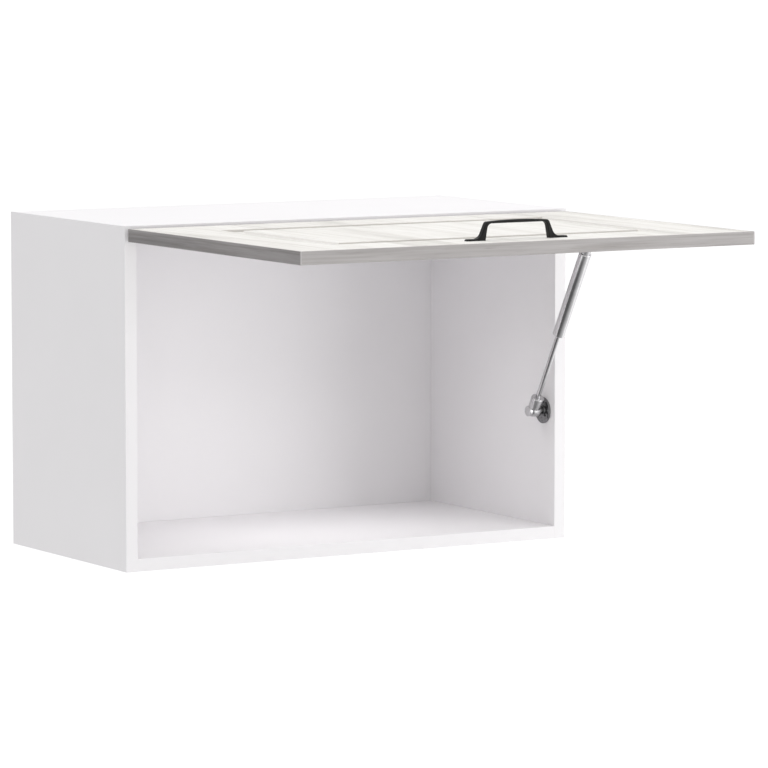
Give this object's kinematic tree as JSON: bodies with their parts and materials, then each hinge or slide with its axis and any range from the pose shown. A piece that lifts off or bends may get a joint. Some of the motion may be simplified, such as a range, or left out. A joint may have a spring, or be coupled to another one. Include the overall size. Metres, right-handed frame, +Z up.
{
  "type": "kitchen wall cabinet",
  "caption": "Low white kitchen wall cabinet with a lift-up flap in whitewashed wood decor, a black bow handle and a gas strut that holds the flap open.",
  "frame": {"origin": "on the wall plane, midway between the two wall-screw holes in the hanging rail", "axes": "+X to the right seen from the front, +Y into the wall, +Z up; the flap lies open and level"},
  "size_m": [0.6, 0.692, 0.4193],
  "materials": {
    "white_board": "smooth white melamine on chipboard",
    "white_edge": "thin white edge strip, satin",
    "white_sheet": "white-faced hardboard",
    "flap_decor": "whitewashed wood grain, satin",
    "flap_edge": "grey wood-grain edge strip, satin",
    "flap_side_edge": "darker grey wood-grain edge strip, satin",
    "black_cast": "matt black on cast zinc",
    "plated_steel": "nickel-plated",
    "silver_tube": "drawn tube, silver",
    "bright_chrome": "bright chrome",
    "satin_zinc": "satin cast zinc",
    "dark_zinc": "dull zinc plating",
    "black_seal": "black nylon",
    "dowel_beech": "bare beech"
  },
  "bodies": {
    "carcass": {"side_panel_left": "white_board", "side_panel_right": "white_board", "top_panel": "white_board", "bottom_panel": "white_board", "back_panel": "white_sheet", "hanging_rail": "white_board", "edge_band_side_left": "white_edge", "edge_band_side_right": "white_edge", "edge_band_top": "white_edge", "edge_band_bottom": "white_edge", "carcass_dowels": "dowel_beech", "cam_bolts": "plated_steel", "cam_locks": "plated_steel", "cam_covers": "white_edge", "back_panel_nails": "plated_steel", "hinge_plate_left": "plated_steel", "hinge_plate_right": "plated_steel", "hinge_arm_left": "plated_steel", "hinge_arm_right": "plated_steel", "hinge_plate_screws": "plated_steel", "hinge_adjusting_screws": "plated_steel", "strut_wall_plate": "dark_zinc", "strut_wall_screws": "dark_zinc", "strut_wall_stud": "dark_zinc"},
    "flap": {"flap_board": "flap_decor", "flap_band_left": "flap_side_edge", "flap_band_right": "flap_side_edge", "flap_band_free_edge": "flap_edge", "flap_band_hinged_edge": "flap_edge", "handle": "black_cast", "handle_screws": "plated_steel", "hinge_cup_left": "plated_steel", "hinge_cup_right": "plated_steel", "hinge_cup_screws": "plated_steel", "hinge_pin_left": "plated_steel", "hinge_pin_right": "plated_steel", "strut_flap_bracket": "dark_zinc", "strut_flap_stud": "satin_zinc", "strut_flap_screws": "plated_steel"},
    "strut_tube": {"strut_tube": "silver_tube", "strut_rod_guide": "black_seal", "strut_tube_eye": "satin_zinc"},
    "strut_rod": {"strut_rod": "bright_chrome", "strut_rod_eye": "satin_zinc", "strut_piston": "black_seal", "strut_pivot_cap": "satin_zinc"}
  },
  "joints": [
    {"name": "flap_hinge", "type": "hinge", "parent": "carcass", "child": "flap", "pos_m": [0, -0.3025, 0.0185], "axis": [1, 0, 0], "range_deg": [0, 90], "stiffness_Nm_per_rad": 3, "springref_deg": -131.78},
    {"name": "strut_swing", "type": "hinge", "parent": "flap", "child": "strut_tube", "pos_m": [0.2705, -0.3865, -0.008], "axis": [1, 0, 0], "range_deg": [-116.5, 0]},
    {"name": "strut_stroke", "type": "slide", "parent": "strut_tube", "child": "strut_rod", "axis": [0, -0.4979, 0.8672], "range_m": [0, 0.0895]}
  ],
  "couplings": [
    {"joint": "strut_swing", "follows": "flap_hinge", "ratio": -1.2919},
    {"joint": "strut_stroke", "follows": "flap_hinge", "m_per_rad": 0.056788}
  ]
}
